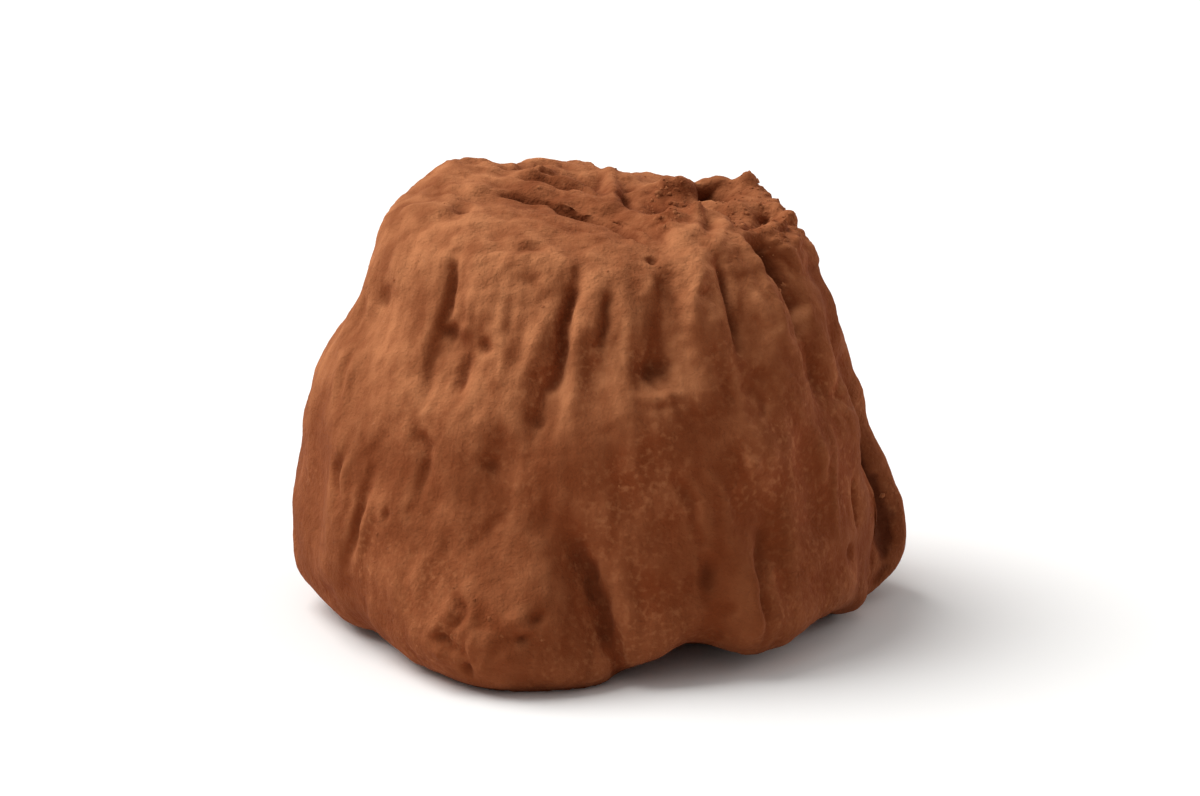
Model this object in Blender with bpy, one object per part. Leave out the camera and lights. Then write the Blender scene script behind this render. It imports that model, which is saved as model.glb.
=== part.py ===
"""A cocoa-dusted chocolate truffle, in metres, +Z up, standing on Z = 0.

The truffle is one solid drop of ganache. It starts as an even drop whose profile differs towards
the front, right, back and left. The drop is then pushed into the form that tumbling in powder gave
it: its foot spreads into lobes, grooves run up its sides, stretches of its lower edge lift off the
table, and its crown has sunk in, cracked and clumped. The front is -Y, and azimuths are counted
from the front towards +X.
"""

import math

import bpy
import numpy as np
from mathutils import Vector, noise

MM = 0.001

# Driving dimensions, in millimetres: the box that the finished truffle fills.
WIDTH = 28.0
DEPTH = 26.8
HEIGHT = 20.0

# The even drop, from the middle of the crown down to the table: its height, then its radius
# towards the front, right, back and left.
PROFILE = (
    (19.2, 0.0, 0.0, 0.0, 0.0),
    (19.4, 3.6, 5.2, 5.8, 6.5),
    (18.6, 6.9, 8.6, 9.3, 9.8),
    (16.6, 9.0, 9.7, 10.5, 10.9),
    (14.2, 10.3, 10.4, 11.2, 12.0),
    (11.2, 11.5, 11.1, 11.9, 13.6),
    (7.6, 12.6, 11.6, 12.6, 14.1),
    (3.8, 13.3, 12.0, 13.0, 14.1),
    (1.5, 13.4, 11.9, 12.8, 13.5),
    (0.4, 12.9, 11.3, 12.1, 12.7),
    (0.0, 12.1, 10.6, 11.3, 11.8),
)
SPACING = 0.63
FOOT_RINGS = ((0.93, 64), (0.84, 52), (0.72, 40), (0.6, 26), (0.46, 12))

# Lobes of the foot: (azimuth, half width in degrees, push outwards, height where it has faded).
LOBES = (
    (-24.0, 19.0, 2.1, 8.5),
    (-88.0, 26.0, 0.4, 13.0),
    (-128.0, 14.0, 0.8, 10.0),
    (-160.0, 15.0, 0.7, 11.0),
    (31.0, 9.0, 0.9, 8.0),
    (60.0, 12.0, 0.6, 9.0),
    (97.0, 16.0, 2.2, 12.6),
    (136.0, 16.0, 0.9, 10.0),
    (166.0, 13.0, 0.8, 8.0),
)

# Grooves in the sides: (azimuth at the top, azimuth at the bottom, top height, bottom height,
# half width in degrees, depth).
GROOVES = (
    (-10.5, -20.5, 20.0, 9.0, 4.0, 0.7),
    (3.0, -8.0, 19.8, 11.5, 3.8, 0.45),
    (22.0, 7.0, 20.0, 12.0, 5.0, 0.65),
    (39.5, 36.0, 19.6, 10.0, 4.6, 0.65),
    (66.0, 60.0, 20.4, 9.0, 5.2, 0.95),
    (48.0, 50.0, 13.0, 4.0, 4.4, 0.35),
    (-13.2, 8.0, 9.0, -4.0, 4.2, 0.95),
    (20.0, 18.0, 7.0, -4.0, 4.0, 0.4),
    (34.0, 33.0, 9.0, -3.0, 3.8, 0.75),
    (78.0, 84.0, 15.0, -4.0, 5.0, 0.85),
    (97.0, 112.0, 18.4, 3.0, 5.5, 0.75),
    (118.0, 116.0, 7.0, -4.0, 6.0, 0.5),
    (126.0, 121.0, 17.0, 7.0, 5.0, 0.6),
    (143.0, 150.0, 20.5, 2.0, 5.0, 0.9),
    (160.0, 156.0, 16.0, 8.0, 4.0, 0.4),
    (165.0, 178.0, 15.5, 1.0, 5.0, 0.7),
    (-166.0, -172.0, 20.5, 7.0, 5.5, 0.85),
    (-154.0, -150.0, 15.0, 5.0, 4.5, 0.4),
    (-142.0, -144.0, 18.6, -4.0, 5.5, 0.75),
    (-128.0, -124.0, 20.5, 11.0, 4.5, 0.45),
    (-118.0, -108.0, 17.8, 3.0, 5.0, 0.6),
    (-98.0, -92.0, 20.0, 8.0, 5.0, 0.4),
    (-80.0, -71.0, 14.0, 2.0, 6.0, 0.4),
    (-55.0, -61.0, 12.0, -4.0, 6.0, 0.3),
    (-52.0, -45.0, 20.4, 13.0, 4.4, 0.4),
    (-45.0, -41.0, 13.5, 6.0, 4.0, 0.3),
    (-27.0, -24.0, 13.0, 6.0, 4.4, 0.35),
)
GROOVE_END = 3.4

# Low bulges and dents of the sides: (azimuth, height, half width, push), the width in millimetres.
BULGES = (
    (-20.0, 3.2, 2.0, 0.45),
    (-39.5, 14.6, 1.6, -0.35),
    (10.0, 14.0, 1.0, -0.4),
    (9.8, 12.5, 1.3, 0.3),
    (24.5, 16.7, 1.3, 0.3),
    (35.0, 10.0, 2.2, 0.25),
    (-80.0, 11.0, 2.6, 0.3),
    (-72.0, 15.2, 1.6, -0.25),
    (72.0, 9.5, 3.0, 0.35),
    (86.0, 15.6, 1.6, -0.25),
    (178.0, 12.0, 3.2, 0.4),
    (-130.0, 12.5, 2.8, 0.35),
    (112.0, 4.6, 2.0, 0.3),
    (-178.0, 4.4, 2.4, -0.4),
)

# Stretches of the lower edge that lift off the table, which leave it flat between them: (azimuth,
# degrees to each side, lift).
ARCHES = (
    (17.0, 22.0, 1.4),
    (36.0, 16.0, 0.3),
    (57.0, 26.0, 1.1),
    (99.0, 16.0, 0.9),
    (-62.0, 36.0, 0.25),
    (118.0, 22.0, 0.8),
    (-178.0, 28.0, 0.9),
    (-112.0, 22.0, 0.6),
)
# The lift fades out by this height above the table, and by this share of the way in under the
# foot. The edge is tucked in by this share of the lift.
ARCH_FADED = 7.0
ARCH_DEEP = 0.5
ARCH_TUCK = 0.4

# The crown: the height it starts at, its sunken middle, and its fall to the right.
CROWN_START = 15.6
CROWN_FULL = 18.6
SINK_MIDDLE = (1.6, 0.6)
SINK_RADIUS = 5.0
SINK_DEPTH = 0.8
CROWN_FALL = 0.035

# The crack across the crown, and the ledge that stands up behind it.
CRACK = ((-6.2, 1.4), (-2.6, 0.1), (0.2, -1.6), (2.0, -4.2), (2.4, -6.2))
CRACK_WIDTH = 0.85
CRACK_DEPTH = 0.4
LEDGE_RISE = 0.55
LEDGE_STEP = 1.0
LEDGE_REACH = 4.6

# Clumps and pits of the crown: (x, y, radius, height).
CLUMPS = (
    (-6.6, 4.0, 3.6, 0.85),
    (0.8, 6.2, 1.1, 0.45),
    (0.7, 3.6, 1.0, 0.5),
    (0.6, 1.2, 0.9, 0.45),
    (2.6, 7.0, 2.4, -0.6),
    (3.2, 4.6, 1.2, 0.55),
    (3.8, 1.8, 1.1, 0.6),
    (4.2, -1.4, 1.2, 0.5),
    (5.2, 5.6, 0.9, 0.5),
    (5.4, 3.6, 1.1, -0.8),
    (7.4, 5.6, 1.2, 0.95),
    (7.8, 1.6, 1.2, 0.5),
    (6.2, -2.8, 1.3, 0.3),
    (8.0, -1.2, 0.9, 0.35),
    (-1.8, 5.0, 1.2, -0.4),
    (-6.2, 0.0, 0.9, -0.3),
    (-2.4, 7.4, 1.4, 0.3),
    (-5.0, 7.2, 1.0, -0.45),
    (-7.0, 5.8, 1.2, 0.3),
    (-9.0, 2.4, 1.1, -0.35),
    (-8.6, -1.8, 1.3, 0.25),
    (0.6, 9.2, 1.0, -0.45),
    (2.6, 8.4, 1.2, 0.35),
    (5.6, 7.6, 1.0, -0.4),
    (9.2, 2.8, 0.9, -0.4),
    (7.0, -4.6, 0.9, -0.35),
    (4.6, -5.0, 1.0, 0.3),
)

# Unevenness of the whole drop: (wavelength, height of the swell).
SWELLS = ((8.5, 0.5), (4.0, 0.3), (2.1, 0.2))

COCOA_COLOUR = (0.195, 0.065, 0.024, 1.0)


def clear_scene():
    """Removes what the startup file holds."""
    for old in list(bpy.data.objects):
        bpy.data.objects.remove(old, do_unlink=True)


def smooth_step(value, start, end):
    """0 before start and 1 after end, with a smooth rise between them."""
    share = min(1.0, max(0.0, (value - start) / (end - start)))
    return share * share * (3.0 - 2.0 * share)


def bell(distance, half_width):
    """1 at no distance, falling off as a bell curve."""
    return math.exp(-((distance / half_width) ** 2))


def turn_between(first, second):
    """The smallest angle between two azimuths, in degrees."""
    return abs((first - second + 180.0) % 360.0 - 180.0)


def smooth_rows():
    """Rows of heights and radii, a spacing apart along a Catmull-Rom curve through PROFILE."""
    knots = [np.array(knot) for knot in PROFILE]
    above = knots[1] * (1.0, -1.0, -1.0, -1.0, -1.0)
    below = 2.0 * knots[-1] - knots[-2]
    padded = [above, *knots, below]
    rows = [knots[0]]
    for before, start, end, after in zip(padded, padded[1:], padded[2:], padded[3:]):
        run = math.hypot(end[0] - start[0], np.mean(end[1:] - start[1:]))
        steps = max(1, round(run / SPACING))
        for step in range(1, steps + 1):
            t = step / steps
            curve = 2.0 * start + (end - before) * t
            curve += (2.0 * before - 5.0 * start + 4.0 * end - after) * t**2
            curve += (3.0 * start - before - 3.0 * end + after) * t**3
            rows.append(0.5 * curve)
    return rows


def radius_towards(row, azimuth):
    """The even drop's radius, blended between the two nearest of its four profiles."""
    quarter, within = divmod(azimuth % 360.0, 90.0)
    share = math.sin(math.radians(within)) ** 2
    radii = row[1:]
    return radii[int(quarter)] * (1.0 - share) + radii[int(quarter + 1) % 4] * share


def lobe_push(azimuth, height):
    """How far the foot's lobes push the side out."""
    return sum(
        push * bell(turn_between(azimuth, middle), width) * (1.0 - smooth_step(height, 1.0, faded))
        for middle, width, push, faded in LOBES
    )


def groove_depth(azimuth, height):
    """How far the grooves cut into the side."""
    cut = 0.0
    for top_azimuth, bottom_azimuth, top, bottom, width, depth in GROOVES:
        share = min(1.0, max(0.0, (top - height) / (top - bottom)))
        middle = top_azimuth + share * (bottom_azimuth - top_azimuth)
        ends = smooth_step(height, bottom, bottom + GROOVE_END)
        ends *= 1.0 - smooth_step(height, top - GROOVE_END, top)
        cut += depth * ends * bell(turn_between(azimuth, middle), width)
    return cut


def bulge_push(azimuth, height, radius):
    """How far the low bulges push the side out."""
    push = 0.0
    for middle, bulge_height, width, bulge in BULGES:
        across = math.radians(turn_between(azimuth, middle)) * radius
        push += bulge * bell(math.hypot(across, height - bulge_height), width)
    return push


def edge_lift(azimuth):
    """How far the lower edge stands off the table."""
    return sum(
        lift * (1.0 - smooth_step(turn_between(azimuth, middle), 0.0, reach))
        for middle, reach, lift in ARCHES
    )


def crack_at(point):
    """The signed distance from the crack, positive behind it, and the place along it from 0 to 1."""
    found = (math.inf, 0.0)
    stretches = len(CRACK) - 1
    for i in range(stretches):
        start = Vector(CRACK[i])
        run = Vector(CRACK[i + 1]) - start
        offset = point - start
        share = min(1.0, max(0.0, offset.dot(run) / run.length_squared))
        distance = math.copysign((offset - share * run).length, run.cross(offset))
        found = min(found, (distance, (i + share) / stretches), key=lambda near: abs(near[0]))
    return found


def crown_rise(x, y, height):
    """How far a point of the crown stands above the even drop."""
    point = Vector((x, y))
    sink = SINK_DEPTH * bell((point - Vector(SINK_MIDDLE)).length, SINK_RADIUS)
    distance, along = crack_at(point)
    ends = smooth_step(along, 0.0, 0.25) * (1.0 - smooth_step(along, 0.75, 1.0))
    ledge = smooth_step(distance, 0.0, LEDGE_STEP)
    ledge *= 1.0 - smooth_step(distance, LEDGE_STEP, LEDGE_REACH)
    crack = ends * (CRACK_DEPTH * bell(distance, CRACK_WIDTH) - LEDGE_RISE * ledge)
    clumps = sum(
        rise * bell((point - Vector((middle_x, middle_y))).length, radius)
        for middle_x, middle_y, radius, rise in CLUMPS
    )
    share = smooth_step(height, CROWN_START, CROWN_FULL)
    return share * (clumps - sink - crack - CROWN_FALL * x)


def swell(point):
    """Unevenness of the surface, in millimetres outwards."""
    return sum(height * noise.noise(point / length) for length, height in SWELLS)


def shaped(row, azimuth, reach=1.0):
    """Where a point of the even drop lies on the truffle, in millimetres.

    Under the foot, reach is how far out the point lies, from 0 at the middle to 1 at the edge.
    """
    height = row[0]
    radius = radius_towards(row, azimuth)
    turn = math.radians(azimuth)
    outward = Vector((math.sin(turn), -math.cos(turn), 0.0))
    even = outward * radius + Vector((0.0, 0.0, height))
    side = smooth_step(radius, 3.0, 9.5)
    lift = edge_lift(azimuth)
    push = lobe_push(azimuth, height) - groove_depth(azimuth, height)
    push += bulge_push(azimuth, height, radius)
    push += swell(even) * smooth_step(height, 0.0, 2.0)
    push -= ARCH_TUCK * lift * (1.0 - smooth_step(height, 0.0, 2.0))
    place = even + outward * side * push
    lifted = smooth_step(reach, ARCH_DEEP, 1.0) * (1.0 - smooth_step(height, 1.5, ARCH_FADED))
    place.z += lift * lifted + crown_rise(place.x, place.y, height)
    place.z += swell(even) * (1.0 - side) * smooth_step(height, CROWN_START, CROWN_FULL)
    return place


def fitted(places):
    """The places scaled and shifted so that they fill the driving box, standing on Z = 0."""
    places = np.array(places)
    low = places.min(axis=0)
    size = places.max(axis=0) - low
    middle = low + size * (0.5, 0.5, 0.0)
    return (places - middle) * np.array((WIDTH, DEPTH, HEIGHT)) / size


def ring_places(row, count, reach=1.0):
    """One ring of places round the truffle."""
    return [shaped(row, 360.0 * step / count, reach) for step in range(count)]


def strip_faces(upper, lower):
    """Triangles between two rings of vertex numbers. The counts may differ, down to a single one."""
    faces = []
    i = j = 0
    while i < len(upper) or j < len(lower):
        above, below = upper[i % len(upper)], lower[j % len(lower)]
        if (i + 1) * len(lower) <= (j + 1) * len(upper):
            i += 1
            faces.append((above, below, upper[i % len(upper)]))
        else:
            j += 1
            faces.append((above, below, lower[j % len(lower)]))
    return [face for face in faces if len(set(face)) == 3]


def truffle_mesh():
    """The truffle's closed surface: rings of near-even triangles from the crown down and under."""
    crown, *sides = smooth_rows()
    foot = sides[-1]
    rings = [[shaped(crown, 0.0)]]
    for row in sides:
        count = max(6, round(2.0 * math.pi * np.mean(row[1:]) / SPACING))
        rings.append(ring_places(row, count))
    for share, count in FOOT_RINGS:
        rings.append(ring_places(foot * share, count, share))
    rings.append([Vector((0.0, 0.0, foot[0]))])
    places = [place for ring in rings for place in ring]
    faces = []
    first = 0
    for upper, lower in zip(rings, rings[1:]):
        middle = first + len(upper)
        faces += strip_faces(range(first, middle), range(middle, middle + len(lower)))
        first = middle
    mesh = bpy.data.meshes.new("truffle")
    mesh.from_pydata((fitted(places) * MM).tolist(), [], faces)
    mesh.shade_smooth()
    return mesh


def cocoa_material():
    """Cocoa powder on ganache: matt reddish brown."""
    material = bpy.data.materials.new("cocoa")
    material.use_nodes = True
    shader = material.node_tree.nodes["Principled BSDF"]
    shader.inputs["Base Color"].default_value = COCOA_COLOUR
    shader.inputs["Roughness"].default_value = 0.92
    shader.inputs["Metallic"].default_value = 0.0
    return material


def make_truffle(collection):
    """The truffle's one solid."""
    mesh = truffle_mesh()
    mesh.materials.append(cocoa_material())
    truffle = bpy.data.objects.new("truffle", mesh)
    collection.objects.link(truffle)


def main():
    """Builds the truffle in a collection of its own."""
    clear_scene()
    collection = bpy.data.collections.new("Chocolate truffle")
    bpy.context.scene.collection.children.link(collection)
    make_truffle(collection)


main()
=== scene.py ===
"""The looks of a cocoa-dusted chocolate truffle, built round its fixed CAD solid.

The solid gives the drop's form: its lobed foot, its grooves and its sunken crown. This script lays
the cocoa coat over it, with the wrinkles, creases, pits and crumbs that tumbling in powder leaves,
then loose crumbs on top, and a plain studio. The coat is worked in millimetres and stored in
metres. The front is -Y, and azimuths are counted from the front towards +X.
"""

import itertools
import logging
import math
from dataclasses import dataclass
from enum import Enum

import bmesh
import bpy
import numpy as np
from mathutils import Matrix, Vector


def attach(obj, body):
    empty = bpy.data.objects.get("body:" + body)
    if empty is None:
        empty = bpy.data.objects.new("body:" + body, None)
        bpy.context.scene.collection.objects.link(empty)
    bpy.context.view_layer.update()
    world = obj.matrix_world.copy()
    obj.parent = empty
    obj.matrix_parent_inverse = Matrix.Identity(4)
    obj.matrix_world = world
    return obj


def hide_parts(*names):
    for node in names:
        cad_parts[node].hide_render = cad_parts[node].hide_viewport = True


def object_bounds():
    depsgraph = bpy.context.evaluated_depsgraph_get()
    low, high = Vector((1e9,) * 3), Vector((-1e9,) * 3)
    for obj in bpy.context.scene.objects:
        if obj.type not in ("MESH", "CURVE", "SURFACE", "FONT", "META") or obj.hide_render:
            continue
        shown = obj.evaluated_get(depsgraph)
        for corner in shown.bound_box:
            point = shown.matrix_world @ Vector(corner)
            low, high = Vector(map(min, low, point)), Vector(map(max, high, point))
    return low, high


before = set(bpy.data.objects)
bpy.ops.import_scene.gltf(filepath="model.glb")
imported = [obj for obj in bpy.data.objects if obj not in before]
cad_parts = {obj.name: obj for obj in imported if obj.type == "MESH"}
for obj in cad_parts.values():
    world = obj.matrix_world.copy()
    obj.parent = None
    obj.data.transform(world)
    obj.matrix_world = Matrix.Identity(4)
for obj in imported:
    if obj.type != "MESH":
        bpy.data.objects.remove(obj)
CAD_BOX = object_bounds()

LOG = logging.getLogger("truffle")
METRES = 0.001  # One millimetre.
Array = np.ndarray
Tree = bpy.types.NodeTree
Socket = bpy.types.NodeSocket
Place = tuple[float, float]
Triple = tuple[float, float, float]
Span = tuple[float, float]  # Where a smooth change starts and where it ends.


# Small tools


def linear(hex_colour: str) -> tuple[float, float, float, float]:
    """Turns an sRGB hex colour to linear light.

    Args:
        hex_colour: the colour as "#rrggbb".

    Returns:
        The linear red, green and blue, with an alpha of 1.
    """
    channels = [int(hex_colour[i : i + 2], 16) / 255.0 for i in (1, 3, 5)]
    # The sRGB curve, straight at its dark end.
    light = [c / 12.92 if c <= 0.04045 else ((c + 0.055) / 1.055) ** 2.4 for c in channels]
    return (*light, 1.0)


def add_node(
    tree: Tree, kind: str, sockets: dict[int | str, object] | None = None, **settings: object
) -> bpy.types.Node:
    """Adds one node to a tree.

    Args:
        tree: the node tree.
        kind: the node's type name.
        sockets: for each input, by name or number, a value or the output that feeds it.
        settings: the node's own settings.

    Returns:
        The new node.
    """
    node = tree.nodes.new(kind)
    for name, value in settings.items():
        setattr(node, name, value)
    for socket, value in (sockets or {}).items():
        if isinstance(value, Socket):
            tree.links.new(value, node.inputs[socket])
        else:
            node.inputs[socket].default_value = value
    return node


def grains(tree: Tree, places: Socket, size_mm: float, detail: float) -> Socket:
    """Adds a noise whose grains are a real size.

    Args:
        tree: the node tree.
        places: the coordinates to read it at, in metres.
        size_mm: the size of a grain.
        detail: how many finer layers it has.

    Returns:
        The noise's value, from 0 to 1.
    """
    sockets = {"Vector": places, "Scale": 1.0 / (size_mm * METRES), "Detail": detail}
    return add_node(tree, "ShaderNodeTexNoise", sockets).outputs["Fac"]


def ranged(tree: Tree, value: Socket, start: float, end: float) -> Socket:
    """Stretches part of a value's range to run from 0 to 1.

    Args:
        tree: the node tree.
        value: the value.
        start: what becomes 0.
        end: what becomes 1.

    Returns:
        The stretched value.
    """
    sockets = {"Value": value, "From Min": start, "From Max": end}
    return add_node(tree, "ShaderNodeMapRange", sockets).outputs["Result"]


def product(tree: Tree, first: Socket, *others: Socket | float) -> Socket:
    """Multiplies values.

    Args:
        tree: the node tree.
        first: the first value.
        others: the values to multiply it by.

    Returns:
        The product.
    """
    for other in others:
        node = add_node(tree, "ShaderNodeMath", {0: first, 1: other}, operation="MULTIPLY")
        first = node.outputs[0]
    return first


def mesh_object(name: str, points: list, faces: list) -> bpy.types.Object:
    """Adds a mesh object to the scene.

    Args:
        name: the object's and the mesh's name.
        points: the mesh's points, in metres.
        faces: its faces, each by the numbers of its points.

    Returns:
        The object.
    """
    mesh = bpy.data.meshes.new(name)
    mesh.from_pydata(points, [], faces)
    made = bpy.data.objects.new(name, mesh)
    bpy.context.scene.collection.objects.link(made)
    return made


def smooth_step(values: Array, start: float, end: float) -> Array:
    """Rises smoothly from 0 to 1 between two values.

    Args:
        values: where to read the rise.
        start: where it is still 0.
        end: where it has reached 1.

    Returns:
        The rise at each value.
    """
    share = np.clip((values - start) / (end - start), 0.0, 1.0)
    return share * share * (3.0 - 2.0 * share)


def bell(distances: Array) -> Array:
    """A bell curve: 1 at no distance, about 0.37 at a distance of 1."""
    return np.exp(-(distances**2))


# Unevenness

# The patterns repeat after this many steps, a power of two.
REPEAT = 256
# Brings the gradient noise to about -1 to 1.
NOISE_SWING = 1.5
# Moves each finer layer, so that the layers' lattices don't line up.
LAYER_SHIFT = 7.3


def dealt_to(order: Array, cells: Array) -> Array:
    """Reads which number was dealt to each cell of a lattice.

    Args:
        order: the shuffled numbers.
        cells: the cells, each a row of three whole numbers.

    Returns:
        One number for each cell.
    """
    x, y, z = (cells & (REPEAT - 1)).T
    return order[(order[(order[x] + y) & (REPEAT - 1)] + z) & (REPEAT - 1)]


class PowderNoise:
    """Seeded gradient noise: the same soft unevenness on every run, from about -1 to 1."""

    def __init__(self, seed: int) -> None:
        """Deals the lattice's directions.

        Args:
            seed: picks one deal.
        """
        dealer = np.random.default_rng(seed)
        self.order = dealer.permutation(REPEAT)
        towards = dealer.normal(size=(REPEAT, 3))
        self.towards = towards / np.linalg.norm(towards, axis=1, keepdims=True)

    def at(self, places: Array) -> Array:
        """Reads the noise.

        Args:
            places: points, one lattice step being one unit.

        Returns:
            One value for each point.
        """
        cell = np.floor(places).astype(int)
        inside = places - cell
        fade = inside**3 * (inside * (inside * 6.0 - 15.0) + 10.0)
        total = np.zeros(len(places))
        for corner in itertools.product((0, 1), repeat=3):
            towards = self.towards[dealt_to(self.order, cell + corner)]
            reach = np.einsum("ij,ij->i", towards, inside - corner)
            total += reach * np.prod(np.where(corner, fade, 1.0 - fade), axis=1)
        return NOISE_SWING * total

    def layered(self, places: Array, layers: int) -> Array:
        """Adds finer noise to coarse, each layer half the size and half the height.

        Args:
            places: points, one lattice step being one unit.
            layers: how many layers.

        Returns:
            One value for each point.
        """
        return sum(self.at(places * 2.0**i + LAYER_SHIFT * i) / 2.0**i for i in range(layers))


def bent_by(points: Array, seed: int, across: float, amount: float) -> Array:
    """Moves points about by noise, so that what is drawn by them is uneven.

    Args:
        points: the points.
        seed: picks the noises, this one and the next two.
        across: the noises' grain, in millimetres.
        amount: how far they move a point, in millimetres.

    Returns:
        The moved points.
    """
    moves = [PowderNoise(seed + axis).at(points / across) for axis in range(3)]
    return points + amount * np.column_stack(moves)


class CrumbCells:
    """Seeded scattered points, one to a cell: where crumbs and dents sit."""

    def __init__(self, seed: int) -> None:
        """Deals the points.

        Args:
            seed: picks one deal.
        """
        dealer = np.random.default_rng(seed)
        self.order = dealer.permutation(REPEAT)
        self.offsets = dealer.random((REPEAT, 3))
        self.luck = dealer.random(REPEAT)

    def nearest(self, places: Array) -> tuple[Array, Array, Array]:
        """Finds the nearest scattered points.

        Args:
            places: points, one cell being one unit.

        Returns:
            The distances to the nearest point and the second nearest, and the nearest point's luck,
            a number from 0 to 1.
        """
        home = np.floor(places).astype(int)
        first = np.full(len(places), np.inf)
        second = first.copy()
        luck = np.zeros(len(places))
        for step in itertools.product((-1, 0, 1), repeat=3):
            cell = home + step
            dealt = dealt_to(self.order, cell)
            away = np.linalg.norm(cell + self.offsets[dealt] - places, axis=1)
            nearer = away < first
            second = np.where(nearer, first, np.minimum(second, away))
            luck = np.where(nearer, self.luck[dealt], luck)
            first = np.where(nearer, away, first)
        return first, second, luck


# The coat's surface

# How far relaxing moves a point towards its neighbours' mean, then back from it. The second is a
# little more, so that the whole doesn't shrink.
SMOOTHING, SWELLING = 0.5, -0.52


@dataclass
class Skin:
    """A closed surface of four-sided faces, as arrays in millimetres."""

    points: Array
    faces: Array
    edges: Array

    def averaged(self, values: Array, rounds: int) -> Array:
        """Evens values out over the surface.

        Args:
            values: one row for each point.
            rounds: how many times each point takes the mean of its neighbours.

        Returns:
            The evened values.
        """
        first, second = self.edges.T
        count = len(self.points)
        shared = np.bincount(self.edges.ravel(), minlength=count)
        columns = values.reshape(count, -1).T
        for _ in range(rounds):
            sums = (
                np.bincount(first, column[second], count) + np.bincount(second, column[first], count)
                for column in columns
            )
            columns = [total / shared for total in sums]
        return np.array(columns).T.reshape(values.shape)

    def relax(self, rounds: int) -> None:
        """Rounds off small facets without shrinking the whole, by pairs of steps."""
        for step in (SMOOTHING, SWELLING) * rounds:
            self.points = self.points + step * (self.averaged(self.points, 1) - self.points)

    def normals(self) -> Array:
        """The outward direction at each point."""
        corners = self.points[self.faces]
        across = np.cross(corners[:, 2] - corners[:, 0], corners[:, 3] - corners[:, 1])
        corner, count = self.faces.ravel(), len(self.points)
        sums = [np.bincount(corner, np.repeat(part, 4), count) for part in across.T]
        total = np.column_stack(sums)
        return total / np.linalg.norm(total, axis=1, keepdims=True)


class Ground(Enum):
    """Which part of the truffle a feature is placed on."""

    SIDE = "side"
    CROWN = "crown"


# Where the crown begins, by height and by how level the coat is.
CROWN_HEIGHT: Span = (15.8, 17.4)
CROWN_LEVEL: Span = (0.3, 0.72)
# How far down the crown's features reach, and how far up the side's.
CROWN_REACH_HEIGHT: Span = (14.6, 16.4)
CROWN_REACH_LEVEL: Span = (0.05, 0.35)
SIDE_REACH_LEVEL: Span = (0.72, 0.95)


@dataclass
class Chart:
    """Where each point of the coat lies: round the side in degrees and height, or on the crown."""

    points: Array
    up: Array

    def crown(self) -> Array:
        """How far each point belongs to the crown, from 0 to 1."""
        high = smooth_step(self.points[:, 2], *CROWN_HEIGHT)
        return high * smooth_step(self.up, *CROWN_LEVEL)

    def offsets(self, ground: Ground, start: Place) -> tuple[Array, Array]:
        """How far each point lies from a place, in millimetres along the surface.

        Args:
            ground: how the place is given.
            start: the azimuth and height on the side, or x and y on the crown.

        Returns:
            The offsets across and along.
        """
        x, y, z = self.points.T
        if ground is Ground.CROWN:
            return x - start[0], y - start[1]
        azimuth = np.degrees(np.arctan2(x, -y))
        turn = (azimuth - start[0] + 180.0) % 360.0 - 180.0
        return turn * self.unit_across(ground), z - start[1]

    def unit_across(self, ground: Ground) -> Array:
        """How many millimetres one unit of a place's first number spans, at each point."""
        if ground is Ground.CROWN:
            return np.ones(len(self.points))
        return np.radians(np.hypot(self.points[:, 0], self.points[:, 1]))

    def path_offsets(self, ground: Ground, path: tuple[Place, ...]) -> tuple[Array, Array]:
        """How far each point lies from a path, and where along it.

        Args:
            ground: how the path's places are given.
            path: its corners.

        Returns:
            The distances in millimetres, positive on the path's left, and the places along the
            path from 0 to 1.
        """
        nearest = np.full(len(self.points), np.inf)
        along = np.zeros(len(self.points))
        stretches = len(path) - 1
        for i in range(stretches):
            across, up = self.offsets(ground, path[i])
            run_across = (path[i + 1][0] - path[i][0]) * self.unit_across(ground)
            run_up = path[i + 1][1] - path[i][1]
            length = run_across**2 + run_up**2
            share = np.clip((across * run_across + up * run_up) / length, 0.0, 1.0)
            away = np.hypot(across - share * run_across, up - share * run_up)
            left = np.where(run_across * up - run_up * across < 0.0, -1.0, 1.0)
            closer = away < np.abs(nearest)
            along = np.where(closer, (i + share) / stretches, along)
            nearest = np.where(closer, left * away, nearest)
        return nearest, along

    def belongs(self, ground: Ground) -> Array:
        """How far each point belongs to that ground, from 0 to 1."""
        if ground is Ground.CROWN:
            high = smooth_step(self.points[:, 2], *CROWN_REACH_HEIGHT)
            return high * smooth_step(self.up, *CROWN_REACH_LEVEL)
        return 1.0 - smooth_step(self.up, *SIDE_REACH_LEVEL)


@dataclass(frozen=True)
class Crease:
    """A crease along a path, with a low lip on each side. A negative depth makes a ridge.

    The lip's height is a share of the depth, and its place and width are in half widths. Over the
    end, a share of the path, the crease is as deep as where that share is reached.
    """

    ground: Ground
    path: tuple[Place, ...]
    half_width: float
    depth: float
    lip: float = 0.22
    lip_away: float = 2.0
    lip_width: float = 0.7
    end: float = 0.06
    fullness: float = 0.6

    def relief(self, chart: Chart) -> Array:
        """The height that the crease adds at each point, in millimetres."""
        away, along = chart.path_offsets(self.ground, self.path)
        full = np.sin(np.pi * np.clip(along, self.end, 1.0 - self.end)) ** self.fullness
        away = np.abs(away) / self.half_width
        cut = bell(away) - self.lip * bell((away - self.lip_away) / self.lip_width)
        return -self.depth * full * cut * chart.belongs(self.ground)


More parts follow.
